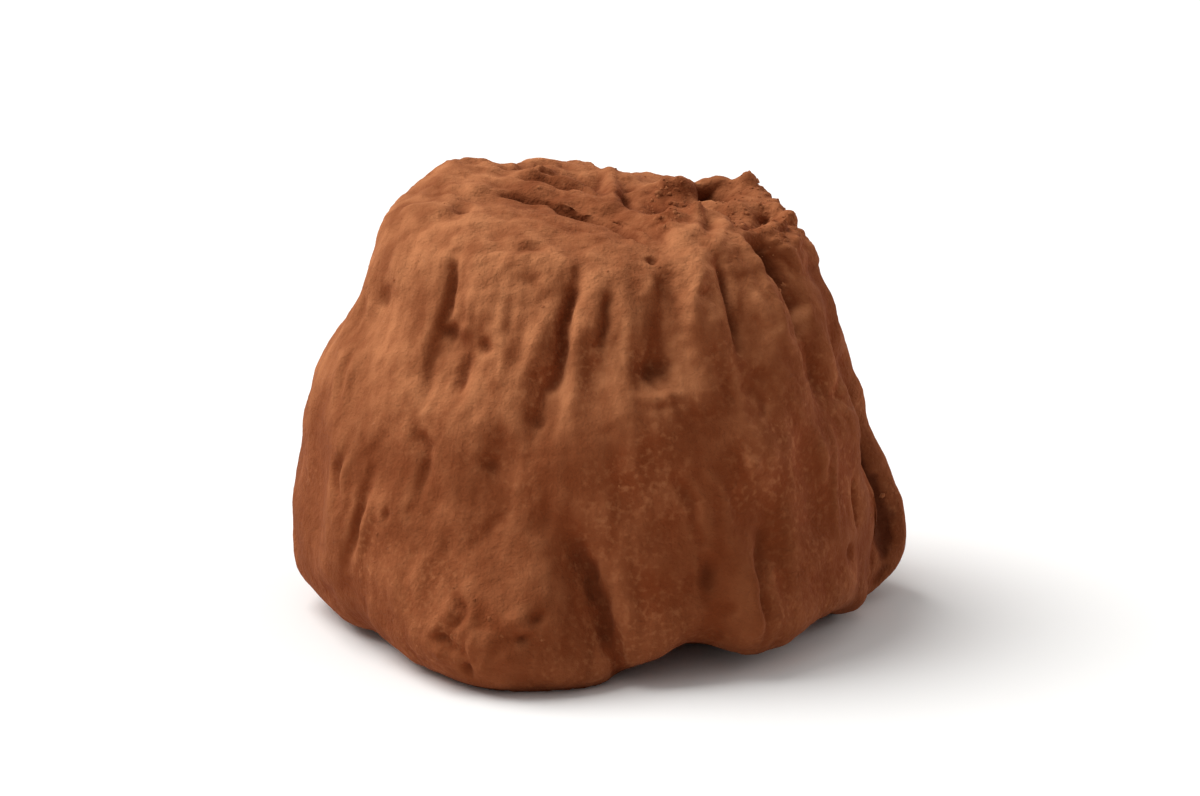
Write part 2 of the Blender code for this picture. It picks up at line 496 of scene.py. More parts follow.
@dataclass(frozen=True)
class Ledge:
    """A crack where the crust has lifted: the side on the path's left stands up like a step.

    It opens and closes over two stretches of its path, given as shares of the whole.
    """

    ground: Ground
    path: tuple[Place, ...]
    rise: float
    reach: float
    depth: float
    face: float = 0.3
    opens: Span = (0.0, 0.4)
    closes: Span = (0.75, 1.0)

    def relief(self, chart: Chart) -> Array:
        """The height that the step and its crack add at each point, in millimetres."""
        away, along = chart.path_offsets(self.ground, self.path)
        full = smooth_step(along, *self.opens) * (1.0 - smooth_step(along, *self.closes))
        step = smooth_step(away, 0.0, self.face) * (1.0 - smooth_step(away, self.face, self.reach))
        crack = bell((away + 0.5 * self.face) / self.face)
        return full * (self.rise * step - self.depth * crack) * chart.belongs(self.ground)


@dataclass(frozen=True)
class Knob:
    """A small mound, or a pit where its rise is negative."""

    ground: Ground
    place: Place
    half_width: float
    half_height: float
    rise: float
    steepness: float = 1.4

    def relief(self, chart: Chart) -> Array:
        """The height that the knob adds at each point, in millimetres."""
        across, up = chart.offsets(self.ground, self.place)
        away = np.hypot(across / self.half_width, up / self.half_height)
        return self.rise * bell(away**self.steepness) * chart.belongs(self.ground)


@dataclass(frozen=True)
class Patch:
    """A stretch where the powder has balled into crumbs; one marks a painted shade instead."""

    ground: Ground
    place: Place
    half_width: float
    half_height: float
    strength: float
    fades: Span = (0.55, 1.15)

    def share(self, chart: Chart) -> Array:
        """How far each point is in the patch, from 0 to its strength."""
        across, up = chart.offsets(self.ground, self.place)
        away = np.hypot(across / self.half_width, up / self.half_height)
        return self.strength * (1.0 - smooth_step(away, *self.fades)) * chart.belongs(self.ground)


SIDE, CROWN = Ground.SIDE, Ground.CROWN

# The side's creases, from the front to the right, then to the left: for each its path, in azimuth
# (degrees) and height (millimetres), its half width and its depth.
SIDE_CREASES = tuple(
    Crease(SIDE, *sizes)
    for sizes in (
        (((-10.9, 17.9), (-13.8, 16.1), (-13.2, 14.8), (-15.2, 13.4), (-18.5, 11.6)), 0.22, 0.26),
        (((1.6, 17.2), (0.0, 16.0), (-2.7, 15.0)), 0.22, 0.26),
        (((-7.4, 6.6), (-4.6, 5.4), (-2.1, 3.9), (0.5, 2.1), (2.4, 0.2)), 0.32, 0.42),
        (((16.6, 9.3), (19.7, 8.3), (20.2, 6.7)), 0.26, 0.2),
        (((22.0, 5.7), (22.7, 4.1)), 0.3, 0.26),
        (((36.2, 6.2), (34.3, 3.8), (34.7, 1.6)), 0.34, 0.42),
        (((46.0, 17.8), (44.4, 17.1), (42.1, 16.0), (41.5, 14.4)), 0.26, 0.34),
        (((70.5, 18.4), (71.5, 16.8), (69.5, 15.3), (62.5, 14.0), (62.5, 12.6)), 0.4, 0.45),
        (((88.0, 11.5), (89.5, 8.0), (91.0, 5.0), (90.0, 1.2)), 0.7, 0.95),
        (((-31.0, 16.6), (-29.0, 15.1)), 0.2, 0.16),
        (((-30.2, 10.1), (-28.0, 9.3)), 0.25, 0.2),
        (((-43.6, 14.4), (-42.2, 13.4), (-40.2, 12.4)), 0.28, 0.24),
        (((-54.5, 18.5), (-53.7, 17.6), (-52.3, 16.2), (-51.6, 14.8)), 0.18, 0.22),
        (((-53.4, 14.4), (-51.2, 13.2), (-48.6, 12.0)), 0.24, 0.2),
        (((-50.0, 11.6), (-48.2, 10.6), (-45.0, 10.2), (-44.2, 8.9), (-45.4, 7.4)), 0.27, 0.22),
        (((-58.8, 8.6), (-59.8, 7.0), (-60.5, 5.7), (-62.8, 4.2)), 0.26, 0.27),
        (((-77.4, 13.6), (-75.6, 12.2), (-73.8, 10.8)), 0.26, 0.22),
        (((-66.0, 10.0), (-68.0, 8.0), (-67.0, 6.4)), 0.22, 0.18),
        (((-30.5, 4.4), (-28.3, 3.7), (-29.8, 2.9)), 0.22, 0.26),
        (((-35.0, 2.3), (-31.5, 2.6), (-28.0, 1.9)), 0.22, 0.28),
    )
)

# The side's ridges, given in the same way: the keen edges beside the creases.
SIDE_RIDGES = (
    Crease(SIDE, ((-19.4, 16.4), (-22.0, 14.5), (-24.2, 13.0)), 0.4, -0.2, 0.1),
    Crease(SIDE, ((-7.6, 17.0), (-9.2, 14.9), (-9.0, 12.8)), 0.32, -0.24, 0.1),
    Crease(SIDE, ((0.9, 5.9), (4.5, 3.2), (6.0, 1.4)), 0.35, -0.2, 0.1),
    Crease(SIDE, ((24.9, 9.4), (28.6, 7.2)), 0.26, -0.14, 0.1),
    Crease(SIDE, ((41.1, 18.2), (31.0, 17.0), (26.8, 15.8)), 0.36, -0.3, 0.1),
    Crease(SIDE, ((64.5, 18.5), (60.2, 17.3), (57.8, 15.9), (55.0, 14.6), (57.0, 13.2)), 0.34, -0.32, 0.1),
    Crease(SIDE, ((59.4, 9.8), (58.2, 8.0)), 0.22, -0.16, 0.1),
    Crease(SIDE, ((64.5, 9.4), (62.0, 7.5), (60.6, 5.5)), 0.22, -0.16, 0.1),
    Crease(SIDE, ((81.0, 9.0), (82.5, 6.5), (83.0, 4.0), (81.0, 1.5)), 1.1, -0.7, 0.0),
    Crease(SIDE, ((97.0, 18.0), (91.5, 16.4), (88.6, 14.4), (88.0, 12.2)), 0.4, -0.3, 0.1),
    Crease(SIDE, ((-57.0, 7.0), (-58.6, 4.8)), 0.24, -0.14, 0.1),
)

# Pits and mounds of the side: for each its place, half width, half height and rise.
SIDE_KNOBS = tuple(
    Knob(SIDE, *sizes)
    for sizes in (
        ((14.3, 13.8), 0.8, 0.4, -0.2),
        ((13.7, 12.9), 0.95, 0.3, 0.2),
        ((4.3, 8.5), 0.7, 0.9, -0.12),
        ((35.5, 9.6), 0.32, 0.32, 0.3),
        ((25.6, 3.4), 0.5, 0.3, -0.12),
        ((66.0, 4.1), 0.3, 0.4, -0.25),
        ((71.5, 6.1), 0.4, 0.9, -0.5),
        ((91.5, 13.8), 0.3, 0.7, -0.3),
        ((-15.1, 7.5), 0.5, 0.6, -0.11),
        ((-28.7, 6.8), 0.55, 0.5, -0.12),
        ((-35.3, 6.2), 0.4, 0.6, -0.1),
        ((-25.7, 10.7), 0.4, 0.55, -0.08),
        ((-51.4, 7.0), 0.24, 0.26, -0.2),
        ((-36.1, 14.7), 0.4, 0.36, -0.26),
        ((-49.5, 14.9), 0.34, 0.36, -0.2),
        ((-43.5, 15.3), 0.5, 0.3, 0.16),
        ((-75.2, 15.6), 0.4, 0.5, -0.18),
        ((-81.6, 13.9), 0.45, 0.7, -0.16),
        ((-17.4, 3.6), 0.5, 0.4, 0.3),
        ((-14.2, 3.8), 0.36, 0.3, -0.3),
        ((-16.3, 2.8), 0.25, 0.22, -0.28),
        ((-32.0, 3.6), 0.32, 0.36, 0.22),
        ((-32.4, 1.8), 0.36, 0.26, 0.2),
        ((-26.8, 1.2), 0.3, 0.22, -0.32),
    )
)

# Creases and ridges of the crown, each path in x and y.
CROWN_CREASES = (
    Crease(CROWN, ((-6.6, 1.5), (-4.4, 0.8), (-2.2, -0.1)), 0.5, -0.28, 0.0),
    Crease(CROWN, ((-4.0, -5.3), (-2.8, -5.1)), 0.24, 0.2),
    Crease(CROWN, ((1.4, 5.2), (1.4, 3.2), (1.4, 1.2)), 0.32, 0.32),
    Crease(CROWN, ((0.6, 6.6), (0.7, 3.6), (0.6, 0.4)), 0.36, -0.4, 0.1),
    Crease(CROWN, ((2.2, 3.4), (2.8, 1.2), (2.4, -0.6)), 0.3, 0.3),
    Crease(CROWN, ((6.0, -2.4), (7.0, -0.6), (7.4, 1.0)), 0.3, 0.3),
    Crease(CROWN, ((4.4, -4.2), (5.0, -2.2), (4.6, -0.6)), 0.34, 0.26),
    Crease(CROWN, ((-6.6, 4.4), (-4.8, 5.4), (-3.4, 5.2)), 0.3, 0.2),
)

# The long crack across the crown, and the short ones behind it, placed in the same way.
CROWN_LEDGES = (
    Ledge(CROWN, ((-6.0, 1.2), (-3.6, 0.9), (-2.0, 0.3), (0.5, -1.4), (2.4, -4.8)), 0.45, 2.6, 0.5, 0.24),
    Ledge(CROWN, ((-4.4, 3.2), (-3.0, 2.7), (-1.2, 2.5), (0.0, 1.6)), 0.35, 1.8, 0.4),
    Ledge(CROWN, ((-5.0, 4.9), (-3.2, 4.7), (-1.6, 5.2)), 0.3, 1.6, 0.35),
)

# Pits and mounds of the crown, given in the same way.
CROWN_KNOBS = tuple(
    Knob(CROWN, *sizes)
    for sizes in (
        ((-6.4, -1.2), 0.45, 0.7, -0.42),
        ((-3.3, 5.2), 0.36, 0.9, -0.5),
        ((-2.4, 6.1), 0.35, 0.5, -0.3),
        ((5.2, 4.4), 0.55, 1.0, -1.1),
        ((5.1, 6.0), 0.7, 0.7, 0.25),
        ((7.1, 5.6), 0.7, 0.7, 0.2),
        ((8.8, 1.6), 0.6, 0.6, 0.15),
        ((7.6, 1.4), 0.65, 0.8, -0.7),
        ((8.5, -0.6), 0.4, 0.8, -0.5),
        ((7.1, -2.6), 0.5, 0.7, -0.6),
        ((6.6, 3.4), 0.6, 0.7, 0.2),
        ((3.3, -2.3), 0.7, 0.6, 0.35),
        ((3.2, -0.4), 0.6, 0.7, 0.3),
        ((3.4, 3.6), 0.8, 0.9, 0.4),
        ((2.2, -5.5), 0.22, 0.3, -0.35),
    )
)

# Where powder has balled into crumbs.
CRUMB_PATCHES = (
    Patch(CROWN, (3.3, 0.8), 1.7, 4.8, 1.0),
    Patch(CROWN, (7.4, 1.8), 2.6, 5.4, 1.0),
    Patch(CROWN, (-1.2, 5.6), 2.6, 2.0, 0.55),
    Patch(SIDE, (-25.0, 2.7), 2.8, 1.8, 0.42),
    Patch(SIDE, (-43.0, 14.4), 2.0, 1.5, 0.25),
    Patch(SIDE, (150.0, 4.0), 3.2, 2.2, 0.4),
    Patch(SIDE, (-120.0, 14.6), 3.2, 2.4, 0.22),
    Patch(SIDE, (104.0, 14.0), 1.8, 2.6, 0.5),
)

# Painted shade, dark as bare ganache: the hollow beside the thin lobe of the foot.
SHADE_PATCHES = (Patch(SIDE, (93.0, 5.2), 0.9, 5.0, 0.75),)


# Finishes


class PowderLay(Enum):
    """How the powder lies: rubbed onto the drop by tumbling, or balled into crumbs."""

    TUMBLED = "tumbled"
    BALLED = "balled"


@dataclass(frozen=True)
class CocoaPowder:
    """Natural cocoa powder on dark ganache, laid on by tumbling.

    To the eye it is a velvety matt coat with no gloss at all. Where the powder lies thick it is a
    light orange brown, a colour also painted on as light. It thins to red brown in hollows, partly as
    painted shade, and the bottom of the creases is painted nearly black brown: partly bare ganache,
    partly painted shade.
    """

    lay: PowderLay
    thick: str = "#b5744c"
    even: str = "#803d1f"
    thin: str = "#72361a"
    # Bare ganache, also painted into the creases and one hollow as shade.
    bare: str = "#3f1a0c"
    sheen: str = "#c98a62"
    patch_mm: float = 3.4
    streak_mm: float = 1.1
    streak_squeeze: float = 0.28
    speck_mm: float = 0.3
    speck_share: float = 0.4
    # The part of each noise that shows as more or less powder. Beyond it there is all or none.
    patch_range: Span = (0.36, 0.66)
    streak_range: Span = (0.35, 0.7)
    speck_range: Span = (0.5, 0.75)
    # These leave at least 0.39 of the dust between streaks, and 0.67 of it between patches.
    dust_in_streaks: Span = (-0.55, 0.85)
    dust_in_patches: Span = (-2.0, 1.0)
    clump_mm: float = 0.364
    clump_height_mm: float = 0.12
    grain_mm: float = 0.14
    grain_height_mm: float = 0.07

    def material(self) -> bpy.types.Material:
        """Builds the powder's material.

        The powder's own grain is 0.02 to 0.07 mm, too fine to show, so its bump and its specks are
        drawn two to four times as coarse.

        Returns:
            The material.
        """
        made = bpy.data.materials.new(f"cocoa powder, {self.lay.value}")
        made.use_nodes = True
        tree = made.node_tree
        tree.nodes.clear()
        places = add_node(tree, "ShaderNodeTexCoord").outputs["Object"]
        shader = add_node(
            tree,
            "ShaderNodeBsdfPrincipled",
            {
                "Base Color": self.colour(tree, places),
                "Normal": self.grain_bump(tree, places),
                "Roughness": 0.95,
                "IOR": 1.45,
                "Specular IOR Level": 0.08,
                "Sheen Weight": 0.06,
                "Sheen Roughness": 0.55,
                "Sheen Tint": linear(self.sheen),
            },
        )
        add_node(tree, "ShaderNodeOutputMaterial", {"Surface": shader.outputs["BSDF"]})
        return made

    def colour(self, tree: Tree, places: Socket) -> Socket:
        """Lays thin, even and thick powder with painted light, then bare ganache and painted shade.

        Args:
            tree: the material's tree.
            places: the object's coordinates.

        Returns:
            The colour.
        """
        squeezed = {"Vector": places, "Scale": (1.0, 1.0, self.streak_squeeze)}
        upright = add_node(tree, "ShaderNodeMapping", squeezed).outputs["Vector"]
        patches = ranged(tree, grains(tree, places, self.patch_mm, 2.0), *self.patch_range)
        streaks = ranged(tree, grains(tree, upright, self.streak_mm, 3.0), *self.streak_range)
        specks = ranged(tree, grains(tree, places, self.speck_mm, 2.0), *self.speck_range)
        dust_and_painted_light = add_node(tree, "ShaderNodeAttribute", attribute_name="dust_and_painted_light").outputs["Fac"]
        crease_shade_and_bare = add_node(tree, "ShaderNodeAttribute", attribute_name="crease_shade_and_bare").outputs["Fac"]
        in_streaks = ranged(tree, streaks, *self.dust_in_streaks)
        in_patches = ranged(tree, patches, *self.dust_in_patches)
        colour = linear(self.thin)
        # The thick layer also paints light on faces turned to the lamp and on proud edges. The last one
        # paints the creases' bare ganache and shade, and one hollow's shade.
        for share, over in (
            (product(tree, patches, streaks), self.even),
            (product(tree, dust_and_painted_light, in_streaks, in_patches), self.thick),
            (product(tree, specks, patches, self.speck_share), self.thick),
            (crease_shade_and_bare, self.bare),
        ):
            # Inputs 6 and 7 are the colours under and over, and output 2 is their blend.
            sockets = {0: share, 6: colour, 7: linear(over)}
            colour = add_node(tree, "ShaderNodeMix", sockets, data_type="RGBA").outputs[2]
        return colour

    def grain_bump(self, tree: Tree, places: Socket) -> Socket:
        """Raises the powder's small clumps, and its grain on them.

        Args:
            tree: the material's tree.
            places: the object's coordinates.

        Returns:
            The bent normal.
        """
        clumps = {
            "Height": grains(tree, places, self.clump_mm, 3.0),
            "Strength": 0.8,
            "Distance": self.clump_height_mm * METRES,
        }
        grain = {
            "Height": grains(tree, places, self.grain_mm, 2.0),
            "Strength": 0.9,
            "Distance": self.grain_height_mm * METRES,
            "Normal": add_node(tree, "ShaderNodeBump", clumps).outputs["Normal"],
        }
        return add_node(tree, "ShaderNodeBump", grain).outputs["Normal"]


@dataclass(frozen=True)
class StudioPaper:
    """Matt white paper, rolled out: an even white with no grain and no shine."""

    white: str = "#f6f5f3"

    def material(self) -> bpy.types.Material:
        """Builds the paper's material.

        Returns:
            The material.
        """
        made = bpy.data.materials.new("white paper, matt")
        made.use_nodes = True
        tree = made.node_tree
        tree.nodes.clear()
        sockets = {"Base Color": linear(self.white), "Roughness": 0.9, "Specular IOR Level": 0.1}
        shader = add_node(tree, "ShaderNodeBsdfPrincipled", sockets)
        add_node(tree, "ShaderNodeOutputMaterial", {"Surface": shader.outputs["BSDF"]})
        return made


# The truffle's pieces


@dataclass
class CocoaCoat:
    """The truffle's whole outside, from the CAD solid's form. Sizes are in millimetres.

    Spans go by height, and the crown's by distance from the axis. Each pattern has its own seed,
    counted on from the coat's.
    """

    node: bpy.types.Object
    step: float = 0.17
    merge: float = 0.001
    rounding: int = 14
    foot_edge: float = 0.5
    # Upright folds with valleys, thin ones on them in shares of their size, and streaks here and
    # there. All are spaced as if they lay at the pleat radius, and are drawn out upwards.
    fold_across: float = 1.9
    fold_height: float = 0.095
    thin_across: float = 0.5
    thin_height: float = 0.35
    valley_depth: float = 0.05
    valley_width: float = 0.3
    pleat_radius: float = 11.5
    pleat_stretch: float = 0.2
    pleat_bend_across: float = 2.4
    pleat_bend: float = 0.4
    streak_across: float = 0.62
    streak_height: float = 0.1
    streaked_across: float = 3.0
    upper_slope: Span = (8.5, 13.0)
    lower_slope: Span = (2.0, 6.0)
    crown_rim: Span = (4.0, 7.5)
    lump_across: float = 2.6
    lump_height: float = 0.1
    # Places for a dent, to the millimetre, and the share that have one. Its width is a share too.
    dent_density: Triple = (0.42, 0.42, 0.3)
    dent_share: float = 0.5
    dent_width: float = 0.22
    dent_depth: float = 0.05
    grain_across: float = 0.8
    grain_height: float = 0.03
    # Crumbs come in three sizes, each so many times as wide and as high as these. Their reach and
    # clefts are shares of their width.
    crumb_across: float = 1.1
    crumb_height: float = 0.42
    crumb_sizes: tuple[Span, ...] = ((1.0, 1.0), (0.5, 0.35), (2.1, 1.4))
    crumb_reach: float = 0.8
    crumb_cleft: float = 0.35
    crumb_mean: float = 0.35
    extra_creases: int = 46
    # Where the powder came from, above at the left much as the lamp, and how thick it lies on low,
    # high and proud parts. Faces turned that way, high parts and proud edges are lighter: partly
    # thick powder, partly painted light. Some of it is rubbed off the crown's middle and off crumbly
    # stretches.
    powder_and_light_from: Triple = (-0.42, 0.0, 0.91)
    dusted_and_lit_slope: Span = (8.5, 15.0)
    crown_middle: Span = (3.5, 5.8)
    dust_and_light_low: float = 0.42
    dust_and_light_high: float = 0.78
    dust_and_highlight_proud: float = 0.25
    rubbed_crown: float = 0.55
    rubbed_crumbs: float = 0.6
    # How dark the creases are painted: partly bare ganache, partly painted shade.
    bare_and_shade_in_creases: float = 0.4
    seed: int = 11

    def even_skin(self) -> Skin:
        """Turns the solid's facets into an even mesh of small faces.

        Returns:
            The skin, with its facets rounded off.
        """
        source = self.node.data.copy()
        form = bmesh.new()
        form.from_mesh(source)
        bmesh.ops.scale(form, vec=(1.0 / METRES,) * 3, verts=form.verts)
        bmesh.ops.remove_doubles(form, verts=form.verts, dist=self.merge)
        form.to_mesh(source)
        form.free()
        holder = bpy.data.objects.new("even_form", source)
        bpy.context.scene.collection.objects.link(holder)
        remesh = holder.modifiers.new("Even", "REMESH")
        remesh.mode = "VOXEL"
        remesh.voxel_size = self.step
        graph = bpy.context.evaluated_depsgraph_get()
        even = holder.evaluated_get(graph).to_mesh()
        arrays = []
        for parts, what, width, kind in (
            (even.vertices, "co", 3, float),
            (even.polygons, "vertices", 4, int),
            (even.edges, "vertices", 2, int),
        ):
            array = np.empty(width * len(parts), kind)
            parts.foreach_get(what, array)
            arrays.append(array.reshape(-1, width))
        bpy.data.objects.remove(holder)
        bpy.data.meshes.remove(source)
        skin = Skin(*arrays)
        on_table = skin.points[:, 2] < 0.25 * self.step
        skin.relax(self.rounding)
        skin.points[on_table, 2] = 0.0
        return skin

    def folds(self, chart: Chart) -> Array:
        """The soft marks of tumbling: upright folds on the side, rounder lumps on the crown.

        Args:
            chart: where each point lies.

        Returns:
            The height that they add, in millimetres.
        """
        crown = chart.crown()
        height = chart.points[:, 2]
        # The folds are full on the upper slope, lower below it and higher again at the foot. The
        # crown's rim keeps 0.6 of them, and its middle none.
        strength = 0.45 + 0.55 * smooth_step(height, *self.upper_slope)
        strength += 0.25 * (1.0 - smooth_step(height, *self.lower_slope))
        bent = bent_by(chart.points, self.seed, self.pleat_bend_across, self.pleat_bend)
        radius = np.hypot(bent[:, 0], bent[:, 1])
        kept = 1.0 - crown * (1.0 - 0.6 * smooth_step(radius, *self.crown_rim))
        spread = self.pleat_radius / np.maximum(radius, 1.0)
        pleats = bent * np.column_stack((spread, spread, np.full_like(spread, self.pleat_stretch)))
        broad = PowderNoise(self.seed + 4).at(pleats / self.fold_across)
        thin = PowderNoise(self.seed + 5).at(pleats / (self.thin_across * self.fold_across))
        streaked = PowderNoise(self.seed + 3).at(bent / self.streaked_across)
        streaks = PowderNoise(self.seed + 6).at(pleats / self.streak_across)
        streaks *= self.streak_height * smooth_step(streaked, -0.4, 0.4)
        # Valleys go down 0.8 of their depth, and the folds between stand 0.2 of it higher.
        valley = smooth_step(np.abs(broad), 0.0, self.valley_width) - 0.8
        folds = self.fold_height * (broad + self.thin_height * thin) + self.valley_depth * valley + streaks
        lumps = self.lump_height * PowderNoise(self.seed + 7).layered(chart.points / self.lump_across, 4)
        return folds * strength * kept + lumps * (1.0 + 1.2 * crown)

    def dents(self, chart: Chart) -> Array:
        """Scattered shallow dents, where other truffles knocked against this one.

        Args:
            chart: where each point lies.

        Returns:
            The height that they add, in millimetres.
        """
        away, _, luck = CrumbCells(self.seed + 8).nearest(chart.points * self.dent_density)
        dented = luck < self.dent_share
        return -self.dent_depth * dented * bell(away / self.dent_width) * (0.5 + luck)

    def crumbliness(self, chart: Chart) -> Array:
        """How crumbly the coat is at each point, from 0 to 1."""
        share = 0.3 * chart.crown()
        for patch in CRUMB_PATCHES:
            share = np.maximum(share, patch.share(chart))
        ragged = PowderNoise(self.seed + 9).at(chart.points / 1.3)
        return np.clip(share * (1.0 + 0.6 * ragged), 0.0, 1.0)

    def crumbs(self, chart: Chart, crumbliness: Array) -> Array:
        """The powder balled into crumbs, with clefts between them.

        Args:
            chart: where each point lies.
            crumbliness: how crumbly it is there.

        Returns:
            The height that they add, in millimetres.
        """
        bent = bent_by(chart.points, self.seed + 20, 0.6, 0.25)
        total = np.zeros(len(crumbliness))
        for i, (across, height) in enumerate(self.crumb_sizes):
            cells = CrumbCells(self.seed + 30 + i)
            away, second, luck = cells.nearest(bent / (across * self.crumb_across))
            ball = np.clip(1.0 - (away / self.crumb_reach) ** 2, 0.0, 1.0) * (0.35 + 0.65 * luck)
            cleft = smooth_step(second - away, 0.0, self.crumb_cleft)
            total += height * (ball * cleft - self.crumb_mean)
        return self.crumb_height * crumbliness * total

    def scattered_creases(self) -> list[Crease]:
        """Short upright creases all round, each a little bent, so that no side is bare.

        Returns:
            The creases.
        """
        dealer = np.random.default_rng(self.seed)
        found = []
        for _ in range(self.extra_creases):
            azimuth = dealer.uniform(-180.0, 180.0)
            top = dealer.uniform(4.0, 18.5)
            length = dealer.uniform(0.8, 3.4)
            lean, bow = dealer.normal(0.0, 2.2, 2)
            # The front has its own creases, so these are shallower there.
            front = -62.0 < azimuth < 70.0
            depth = dealer.uniform(0.08, 0.28) * (0.5 if front else 1.0)
            path = (
                (azimuth, top),
                (azimuth + lean / 2.0 + bow, top - length / 2.0),
                (azimuth + lean, top - length),
            )
            found.append(Crease(SIDE, path, dealer.uniform(0.18, 0.4), depth))
        return found

    def relief(self, chart: Chart, crumbliness: Array) -> Array:
        """Everything that stands out from the smooth form or cuts into it.

        Args:
            chart: where each point lies.
            crumbliness: how crumbly it is there.

        Returns:
            The height at each point, in millimetres.
        """
        total = self.folds(chart) + self.dents(chart) + self.crumbs(chart, crumbliness)
        ragged = Chart(bent_by(chart.points, self.seed + 40, 1.1, 0.2), chart.up)
        named = SIDE_CREASES + SIDE_RIDGES + SIDE_KNOBS + CROWN_CREASES + CROWN_LEDGES + CROWN_KNOBS
        for feature in (*named, *self.scattered_creases()):
            total += feature.relief(ragged)
        grain = PowderNoise(self.seed + 50).layered(chart.points / self.grain_across, 2)
        return total + self.grain_height * grain

    def make(self) -> tuple[bpy.types.Object, Skin, Array]:
        """Builds and dresses the coat.

        Returns:
            The coat, its skin, and how crumbly each of its points is.
        """
        skin = self.even_skin()
        normals = skin.normals()
        chart = Chart(skin.points, normals[:, 2])
        crumbliness = self.crumbliness(chart)
        relief = self.relief(chart, crumbliness)
        # Half of it is the mean of its neighbours', so that keen edges don't show the mesh.
        relief = 0.5 * (relief + skin.averaged(relief, 1))
        off_table = smooth_step(skin.points[:, 2], 0.0, self.foot_edge)
        skin.points = skin.points + normals * (relief * off_table)[:, None]
        skin.points[:, 2] = np.maximum(skin.points[:, 2], 0.0)
        coat = mesh_object("cocoa_coat", (skin.points * METRES).tolist(), skin.faces.tolist())
        self.dress(coat, skin, crumbliness)
        self.flatten_foot(coat)
        return coat, skin, crumbliness

    def dress(self, coat: bpy.types.Object, skin: Skin, crumbliness: Array) -> None:
        """Works out where powder lies thick and where creases are bare, and gives the finish.

        The light powder also paints light where the coat faces the lamp and on proud edges, and the bare
        creases also paint shade.

        Args:
            coat: the coat's object.
            skin: its skin.
            crumbliness: how crumbly it is at each point.
        """
        normals = skin.normals()
        # How far each point lies below its near surroundings, with 0.3 of the same for wider ones.
        near, wide = (
            np.einsum("ij,ij->i", skin.averaged(skin.points, rounds) - skin.points, normals)
            for rounds in (8, 60)
        )
        below = near + 0.3 * wide
        # Deep in the creases the coat is painted dark: partly bare ganache, partly painted shade.
        crease_shade_and_bare = smooth_step(below, 0.02, 0.3)
        proud = smooth_step(-below, -0.02, 0.08)
        # High parts and faces turned up to the left, towards the lamp, get light powder: partly thick
        # powder, partly painted light.
        high = smooth_step(skin.points[:, 2], *self.dusted_and_lit_slope)
        facing = smooth_step(normals @ self.powder_and_light_from, 0.0, 0.8)
        radius = np.hypot(skin.points[:, 0], skin.points[:, 1])
        inner = 1.0 - smooth_step(radius, *self.crown_middle)
        kept = (1.0 - self.rubbed_crown * high * inner) * (1.0 - self.rubbed_crumbs * crumbliness)
        # Proud edges get light powder too: partly powder, partly a painted highlight.
        dust_and_painted_light = kept * (self.dust_and_highlight_proud * proud + (self.dust_and_light_low + self.dust_and_light_high * high) * facing)
        bare = (self.bare_and_shade_in_creases + self.bare_and_shade_in_creases * crumbliness) * crease_shade_and_bare
        # A painted shade, dark as bare ganache, in the hollow beside the thin lobe of the foot.
        for patch in SHADE_PATCHES:
            share = patch.share(Chart(skin.points, normals[:, 2]))
            bare = np.maximum(bare, share * (1.0 - 0.8 * proud**3))
        for name, values in (("crease_shade_and_bare", bare), ("dust_and_painted_light", dust_and_painted_light * (1.0 - crease_shade_and_bare))):
            stored = coat.data.attributes.new(name, "FLOAT", "POINT")
            stored.data.foreach_set("value", values.astype(np.float32))
        coat.data.materials.append(CocoaPowder(PowderLay.TUMBLED).material())

    def flatten_foot(self, coat: bpy.types.Object) -> None:
        """Joins the small faces of the flat foot into a few large ones."""
        form = bmesh.new()
        form.from_mesh(coat.data)
        foot = [face for face in form.faces if all(corner.co.z == 0.0 for corner in face.verts)]
        joined = bmesh.ops.dissolve_faces(form, faces=foot, use_verts=False)["region"]
        bmesh.ops.triangulate(form, faces=joined)
        form.to_mesh(coat.data)
        form.free()
        coat.data.shade_smooth()


